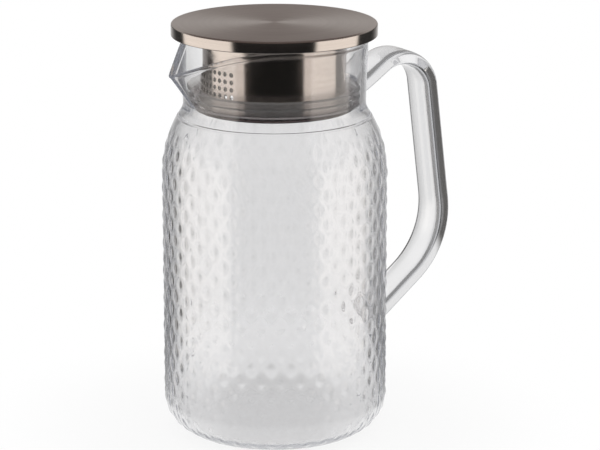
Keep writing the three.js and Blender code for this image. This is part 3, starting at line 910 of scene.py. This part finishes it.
# %% Clear plastic finish
PLASTIC_IOR = 1.55
PLASTIC_COLOUR = (0.915, 0.913, 0.917, 1.0)
PLASTIC_GREY = (0.45, 0.5, 0.62, 1.0)
PLASTIC_DENSITY = 2.0
PLASTIC_GLOSS = 0.015
RIPPLE_WAVES = 60.0
RIPPLE_GLOSS = 0.02
FINE_WAVES = 420.0
FINE_SHARE = 0.08
MARK_WAVES = 900.0
MARK_LEVELS = (0.58, 0.8)
MARK_GLOSS = 0.03
BLOWN_RIPPLE = 0.06 * MM
MOULDED_RIPPLE = 0.03 * MM


def clear_plastic(name, ripple):
    """Clear plastic whose surface ripples by this height."""
    material, wire, place = start_finish(name)
    slow = noise(wire, place, RIPPLE_WAVES)
    fine = noise(wire, place, FINE_WAVES, detail=3.0)
    marks = noise(wire, place, MARK_WAVES, detail=4.0, roughness=0.7).step(*MARK_LEVELS)
    shader = wire.node("BsdfPrincipled", {}, {
        "Base Color": PLASTIC_COLOUR, "IOR": PLASTIC_IOR, "Transmission Weight": 1.0,
        "Roughness": PLASTIC_GLOSS + slow * RIPPLE_GLOSS + marks * MARK_GLOSS,
        "Normal": bumped(wire, slow * ripple + fine * (ripple * FINE_SHARE))})
    body = wire.node("VolumeAbsorption", {}, {"Color": PLASTIC_GREY, "Density": PLASTIC_DENSITY})
    wire.node("OutputMaterial", {}, {"Surface": shader, "Volume": body})
    return material


vessel.data.materials.append(clear_plastic("clear_blown_plastic", BLOWN_RIPPLE))
handle.data.materials.append(clear_plastic("clear_moulded_plastic", MOULDED_RIPPLE))
print("clear plastic on", vessel.name, "and", handle.name)

# %% [markdown]
# ## Brushed steel
# The lid is spun while it is brushed, so fine rings run round the axis on the top and round the skirt. Rings
# stretch a highlight across themselves, which the shader's anisotropy does: its own tangent already runs
# round the vertical axis of a piece. The rings that the eye can see could be a picture, but noise that
# changes quickly across them and slowly along them never repeats. The cap's top is rougher than its skirt,
# and the sleeve's inside is painted dark as shade.

# %% Brushed steel finish
STEEL_ANISOTROPY = 0.92
GRAIN_TURN = 0.25
RING_WAVES = 2600.0
RING_ROUND = 1.6
RING_SHARE = 0.55
RING_LEVELS = (0.28, 0.72)
RING_GLOSS = 0.06
RING_BUMP = 0.0006 * MM
BROAD_RINGS = 0.16
CLOUD_WAVES = 45.0
CLOUD_GLOSS = 0.04
AXIS_MARGIN = 0.05 * MM
TOP_EDGE = 0.6 * MM
# Painted shade: inside the sleeve the steel's colour is made dark, standing in for the shade inside the lid.
INSIDE_SHADE_COLOUR = (0.2, 0.18, 0.17, 1.0)
INSIDE_SHADE_FROM = 0.1 * MM
INSIDE_SHADE_FULL = 0.3 * MM


def spun_steel(name, tones, gloss, top_gloss=0.0, top_height=1.0, shaded_inside_radius=0.0):
    """Steel brushed in rings between two tones. Its roughness grows by top_gloss up to top_height, and inside
    the last radius its colour is painted dark as shade."""
    material, wire, place = start_finish(name)
    x = wire.node("SeparateXYZ", {}, {0: place})
    y, z = x.also("Y"), x.also("Z")
    radius = (x * x + y * y) ** 0.5
    safe = radius + AXIS_MARGIN
    along = wire.node("CombineXYZ", {}, {
        0: (radius + z) * RING_WAVES, 1: x / safe * RING_ROUND, 2: y / safe * RING_ROUND})
    rings = noise(wire, along, 1.0, detail=3.0, roughness=0.65)
    broad = noise(wire, along, BROAD_RINGS)
    cloud = noise(wire, place, CLOUD_WAVES)
    bright = (rings * RING_SHARE + broad * (1 - RING_SHARE)).step(*RING_LEVELS).blend(*tones)
    # Painted shade: the colour goes dark inside the sleeve.
    colour = radius.step(shaded_inside_radius - INSIDE_SHADE_FULL, shaded_inside_radius - INSIDE_SHADE_FROM).blend(INSIDE_SHADE_COLOUR, bright)
    on_top = z.step(top_height - TOP_EDGE, top_height)
    shader = wire.node("BsdfPrincipled", {}, {
        "Base Color": colour, "Metallic": 1.0, "Anisotropic": STEEL_ANISOTROPY,
        "Anisotropic Rotation": GRAIN_TURN, "Normal": bumped(wire, rings * RING_BUMP),
        "Roughness": gloss + on_top * top_gloss + rings * RING_GLOSS + cloud * CLOUD_GLOSS})
    wire.node("OutputMaterial", {}, {"Surface": shader})
    return material


print("rings every", round(1 / RING_WAVES / MM, 2), "mm or so")

# %% Steel on the lid
CAP_TONES = ((0.66, 0.6, 0.56, 1.0), (0.74, 0.68, 0.635, 1.0))
PLATE_TONES = ((0.66, 0.61, 0.58, 1.0), (0.74, 0.69, 0.65, 1.0))
SLEEVE_TONES = ((0.68, 0.625, 0.585, 1.0), (0.76, 0.7, 0.66, 1.0))
FINE_BRUSHED = 0.13
COARSE_BRUSHED = 0.2
TOP_GLOSS = 0.13

cap_steel = spun_steel("spun_steel_cap", CAP_TONES, FINE_BRUSHED, TOP_GLOSS, cap_high.z)
plate_steel = spun_steel("spun_steel_plate", PLATE_TONES, COARSE_BRUSHED)
sleeve_steel = spun_steel("spun_steel_sleeve", SLEEVE_TONES, FINE_BRUSHED, shaded_inside_radius=sleeve_radius)
cap.data.materials.append(cap_steel)
plate.data.materials.append(plate_steel)
sleeve.data.materials.append(sleeve_steel)
print("spun steel on", cap.name, plate.name, "and", sleeve.name)

# %% [markdown]
# ## Silicone
# The ring is grey, satin and slightly see-through. Scattering inside a volume would give its milky look, but
# slowly: a transmitting shader with a share of matt white is close and quick. The real lips press on the
# wall, so no air shows between the two, and a refractive index near that of air stands in for this. The
# ring's foot is painted dark as shade, standing in for the shadow under it and the steel flange seen through
# it, and a fine noise breaks up the gloss.

# %% Silicone finish
SILICONE_IOR = 1.06
SILICONE_CLEAR = 0.8
SILICONE_TONES = ((0.97, 0.965, 0.96, 1.0), (0.99, 0.985, 0.98, 1.0))
SILICONE_CLOUDS = 70.0
SILICONE_LEVELS = (0.3, 0.7)
SILICONE_GRAIN = 700.0
SILICONE_BUMP = 0.01 * MM
SILICONE_GLOSS = 0.12
GRAIN_GLOSS = 0.08
# Painted shade: a dark colour over the ring's foot stands in for the shadow under it and the steel flange
# seen through it.
FOOT_SHADE_COLOUR = (0.14, 0.11, 0.11, 1.0)
FOOT_SHADE_HEIGHT = 2.9 * MM
FOOT_SHADE_FADE = 0.4 * MM


def silicone(name, low):
    """Milky rubber with painted shade over its foot, from this height up to a set height above it."""
    material, wire, place = start_finish(name)
    grain = noise(wire, place, SILICONE_GRAIN, detail=3.0)
    milky = noise(wire, place, SILICONE_CLOUDS).step(*SILICONE_LEVELS).blend(*SILICONE_TONES)
    z = wire.node("SeparateXYZ", {}, {0: place}, output="Z")
    # Painted shade over the ring's foot, fading in below its top.
    above_foot_shade = z.step(low + FOOT_SHADE_HEIGHT - FOOT_SHADE_FADE, low + FOOT_SHADE_HEIGHT)
    shader = wire.node("BsdfPrincipled", {}, {
        "Base Color": above_foot_shade.blend(FOOT_SHADE_COLOUR, milky), "Roughness": SILICONE_GLOSS + grain * GRAIN_GLOSS,
        "IOR": SILICONE_IOR, "Transmission Weight": SILICONE_CLEAR,
        "Normal": bumped(wire, grain * SILICONE_BUMP)})
    wire.node("OutputMaterial", {}, {"Surface": shader})
    return material


seal.data.materials.append(silicone("grey_silicone", seal_low.z))
print("silicone on", seal.name)

# %% [markdown]
# ## The studio
# Clear plastic and steel show what stands round them. The photograph's steel mirrors a dark room behind the
# camera between two wide softboxes, and its plastic is lit through from a white backdrop with dark corners.
# Lamps could be set up for this, but a world that answers each kind of ray is steadier. The Light Path
# counts how often a ray was mirrored and how often it crossed a skin: rays that only pass through plastic see
# mostly white, mirrored rays see the studio, and matt surfaces get plain even light.

# %% Rays and their directions
SAFE_SQUARE = 1e-4

world = bpy.data.worlds.new("studio")
bpy.context.scene.world = world
sky = start_tree(world)
path = sky.node("LightPath", output="Is Camera Ray")
ray = sky.node("TexCoord", output="Generated")
east = sky.node("SeparateXYZ", {}, {0: ray})
north, rise = east.also("Y"), east.also("Z")
level = (east * east + north * north + SAFE_SQUARE) ** 0.5
towards_camera = (east * math.sin(CAMERA_TURN) - north * math.cos(CAMERA_TURN)) / level
towards_right = (east * math.cos(CAMERA_TURN) + north * math.sin(CAMERA_TURN)) / level
sideways = towards_right.math("ABSOLUTE", towards_right)


def at_least(depth, count):
    """1 where a depth of the Light Path, which is a whole number, has reached a count, and else 0."""
    return depth.step(count - 1, count)


def facing(wide, narrow):
    """1 for directions within a narrow turn from the camera's, 0 beyond a wide one, both in degrees."""
    return towards_camera.step(math.cos(math.radians(wide)), math.cos(math.radians(narrow)))


mirrored = path.also("Glossy Depth")
crossed = path.also("Transmission Depth")
behind_plastic = at_least(crossed, 1)
behind_vessel = at_least(crossed, 3)
print("directions with", len(world.node_tree.nodes), "nodes")

# %% [markdown]
# Walls run round the carafe: the dark front behind the camera, a softbox on each side and the corners, with
# a dark card in the left one. Plastic turns a ray, so steel and what is seen through plastic have corners of
# their own.

# %% Walls
FRONT_EDGE = (50.5, 44.5)
FRONT_FOOT = (-0.75, -0.55)
FRONT_TOP = (0.15, 0.4)
FRONT_MIX = (0.2, 0.8)
FRONT_LEVEL = 0.004
FRONT_GLOW = 0.3
BOX_COLOUR = (1.12, 1.05, 0.98, 1.0)
CORNER_EDGE = (116, 110)
SIDE_EDGE = (-0.1, 0.1)
RIGHT_CORNER = 0.3
LEFT_CORNER = 0.22
CARD_FAR = (138, 133)
CARD_NEAR = (121, 117)
CARD_LEVEL = 0.05
DEEP_LEFT = 0.1
DEEP_RIGHT = 0.15
STEEL_EDGE = (-0.44, -0.34)
STEEL_LEAN = 0.12
STEEL_CORNER = 0.03
STEEL_FOOT = (-0.6, -0.4)
STEEL_LOW = 0.05

front = facing(*FRONT_EDGE)
front_band = rise.step(*FRONT_FOOT) * (1 - rise.step(*FRONT_TOP))
front_dark = (front_band + 1 - behind_plastic).step(*FRONT_MIX)
front_colour = front_dark.blend(grey(FRONT_GLOW), grey(FRONT_LEVEL))
card = facing(*CARD_FAR) * (1 - facing(*CARD_NEAR))
left_corner = behind_vessel.blend(card.blend(grey(LEFT_CORNER), grey(CARD_LEVEL)), grey(DEEP_LEFT))
right_corner = behind_vessel.blend(grey(RIGHT_CORNER), grey(DEEP_RIGHT))
corners = towards_right.step(*SIDE_EDGE).blend(left_corner, right_corner)
clear_walls = (1 - facing(*CORNER_EDGE)).blend(BOX_COLOUR, corners)
steel_corner = 1 - (towards_camera - towards_right * STEEL_LEAN).step(*STEEL_EDGE)
steel_sides = steel_corner.blend(BOX_COLOUR, grey(STEEL_CORNER))
steel_walls = rise.step(*STEEL_FOOT).blend(grey(STEEL_LOW), steel_sides)
walls = front.blend(behind_plastic.blend(steel_walls, clear_walls), front_colour)
print("walls with", len(world.node_tree.nodes), "nodes")

# %% Backdrop and ceiling
BACK_EDGE = (130, 100)
BACK_COLOUR = (0.37, 0.35, 0.34, 1.0)
CEILING_EDGE = (0.4, 0.6)
CEILING_COLOUR = (0.12, 0.095, 0.09, 1.0)
UPPER_EDGE = (0.05, 0.25)
UPPER_LEVEL = 0.85
BACKDROP_SIDES = (0.1, 0.7)
BACKDROP_DEPTH = (-0.5, -0.3)
BACKDROP_FALL = (0.0, 0.25)
BACKDROP_EDGE = 0.65
SWEEP_EDGE = (-0.1, 0.02)
SWEEP_RISE = 0.35

back_wall = rise.step(*CEILING_EDGE).blend(BACK_COLOUR, CEILING_COLOUR)
high_wall = (1 - facing(*BACK_EDGE)).blend(CEILING_COLOUR, back_wall)
room = (rise * (1 - behind_plastic)).step(*UPPER_EDGE).blend(walls, high_wall)
backdrop = (1 - sideways.step(*BACKDROP_SIDES)) * (1 - towards_camera.step(*BACKDROP_DEPTH))
backdrop_colour = sideways.step(*BACKDROP_FALL).blend(grey(1.0), grey(BACKDROP_EDGE))
sweep = (rise - behind_plastic * SWEEP_RISE).step(*SWEEP_EDGE).blend(backdrop_colour, high_wall)
upper = rise.step(*UPPER_EDGE) * behind_plastic * (1 - front)
studio = upper.blend(backdrop.blend(room, sweep), grey(UPPER_LEVEL))
print("studio with", len(world.node_tree.nodes), "nodes")

# %% [markdown]
# Light that was mirrored more often than it crossed a skin ran inside a wall, and gets one grey. Light
# mirrored twice in a thin piece, such as the handle, gets a darker one unless it rises.

# %% What each ray sees
UPWARD = (0.0, 0.2)
TWICE_LEVEL = 0.3
GUIDED_COLOUR = (0.62, 0.62, 0.63, 1.0)
CLEAR_SHARE = 0.4
EVEN_LEVEL = 0.95

twice = at_least(mirrored, 2) * behind_plastic * (1 - behind_vessel) * (1 - rise.step(*UPWARD))
guided = at_least(mirrored - crossed, 1) * behind_plastic
reflected = guided.blend(twice.blend(studio, grey(TWICE_LEVEL)), GUIDED_COLOUR)
studio_share = (1 - path) * (CLEAR_SHARE + (1 - CLEAR_SHARE) * at_least(mirrored, 1))
seen = studio_share.blend(grey(1.0), reflected)
light = path.also("Is Diffuse Ray").blend(seen, grey(EVEN_LEVEL))
background = sky.node("Background", {}, {"Color": light, "Strength": 1.0})
sky.node("OutputWorld", {}, {"Surface": background})
print("world with", len(world.node_tree.nodes), "nodes")

# %% [markdown]
# ## The floor
# A pale round table top carries the carafe and keeps its shadow. A plain matt disc would look grey, so rays
# from the camera, through plastic and off steel see it nearly as white as the background, and towards its
# edge it fades into that background. Seen through the vessel it carries a painted shadow, darker in the
# middle.

# %% Table top
FLOOR_RADIUS = 0.18
FLOOR_RING = 0.1
FLOOR_DROP = 0.1 * MM
FLOOR_SHEET = 4 * MM
FLOOR_COLUMNS = 96
FLOOR_CREASE = math.radians(30)

floor_top = -FLOOR_DROP
floor_low = floor_top - FLOOR_SHEET
floor_profile = np.array([[0, floor_low], [FLOOR_RADIUS, floor_low], [FLOOR_RADIUS, floor_top],
                          [FLOOR_RING, floor_top], [0, floor_top]])
floor = turn_profile("table_top", floor_profile, FLOOR_COLUMNS, crease=FLOOR_CREASE)

# %% Table top finish
FLOOR_COLOUR = (0.92, 0.92, 0.92, 1.0)
# Painted shadow: seen through plastic, the table under the vessel glows darker, most of all in the middle.
SHADOW_MIDDLE_LEVEL = 0.8
SHADOW_SIDES_LEVEL = 0.9
SHADOW_MIDDLE_HALF = 0.02
SHADOW_SIDES_FROM = 0.036
SHADOW_UNDER_VESSEL_EDGE = (0.05, 0.09)
FLOOR_WHITE = 0.88
WHITE_EDGE = (0.08, 0.17)
MIRRORED_RING = (0.06, 0.1)
MIRRORED_EDGE = 0.25

material, wire, place = start_finish("pale_table_top")
x = wire.node("SeparateXYZ", {}, {0: place})
y = x.also("Y")
radius = (x * x + y * y) ** 0.5
kind = wire.node("LightPath", output="Is Diffuse Ray")
mirrored_ring = at_least(kind.also("Glossy Depth"), 1) * radius.step(*MIRRORED_RING)
around_vessel = mirrored_ring.blend(grey(1.0), grey(MIRRORED_EDGE))
# Painted shadow under the vessel, for rays that have crossed plastic.
painted_shadow_under_vessel = at_least(kind.also("Transmission Depth"), 1) * (1 - radius.step(*SHADOW_UNDER_VESSEL_EDGE))
across = x * math.cos(CAMERA_TURN) + y * math.sin(CAMERA_TURN)
sides = (across * across).step(SHADOW_MIDDLE_HALF ** 2, SHADOW_SIDES_FROM ** 2)
shadowed_tone = painted_shadow_under_vessel.blend(around_vessel, sides.blend(grey(SHADOW_MIDDLE_LEVEL), grey(SHADOW_SIDES_LEVEL)))
glow = (1 - kind) * (FLOOR_WHITE + (1 - FLOOR_WHITE) * radius.step(*WHITE_EDGE))
matt = wire.node("BsdfDiffuse", {}, {"Color": FLOOR_COLOUR})
# The emission carries the painted shadow under the vessel.
white = wire.node("Emission", {}, {"Color": shadowed_tone, "Strength": 1.0})
wire.node("OutputMaterial", {}, {"Surface": wire.node("MixShader", {}, {0: glow, 1: matt, 2: white})})
floor.data.materials.append(material)
print("table top", 2 * FLOOR_RADIUS, "m across")

# %% [markdown]
# ## Render settings
# Light crosses many plastic skins and can run a long way inside a wall, so paths get more turns than usual.
# The two boxes are written down to show that the fine model keeps the size of the packed one.

# %% Settings
LIGHT_TURNS = 96

scene = bpy.context.scene
scene.view_settings.view_transform = "Standard"
scene.cycles.max_bounces = LIGHT_TURNS
scene.cycles.transmission_bounces = LIGHT_TURNS
scene.cycles.glossy_bounces = LIGHT_TURNS
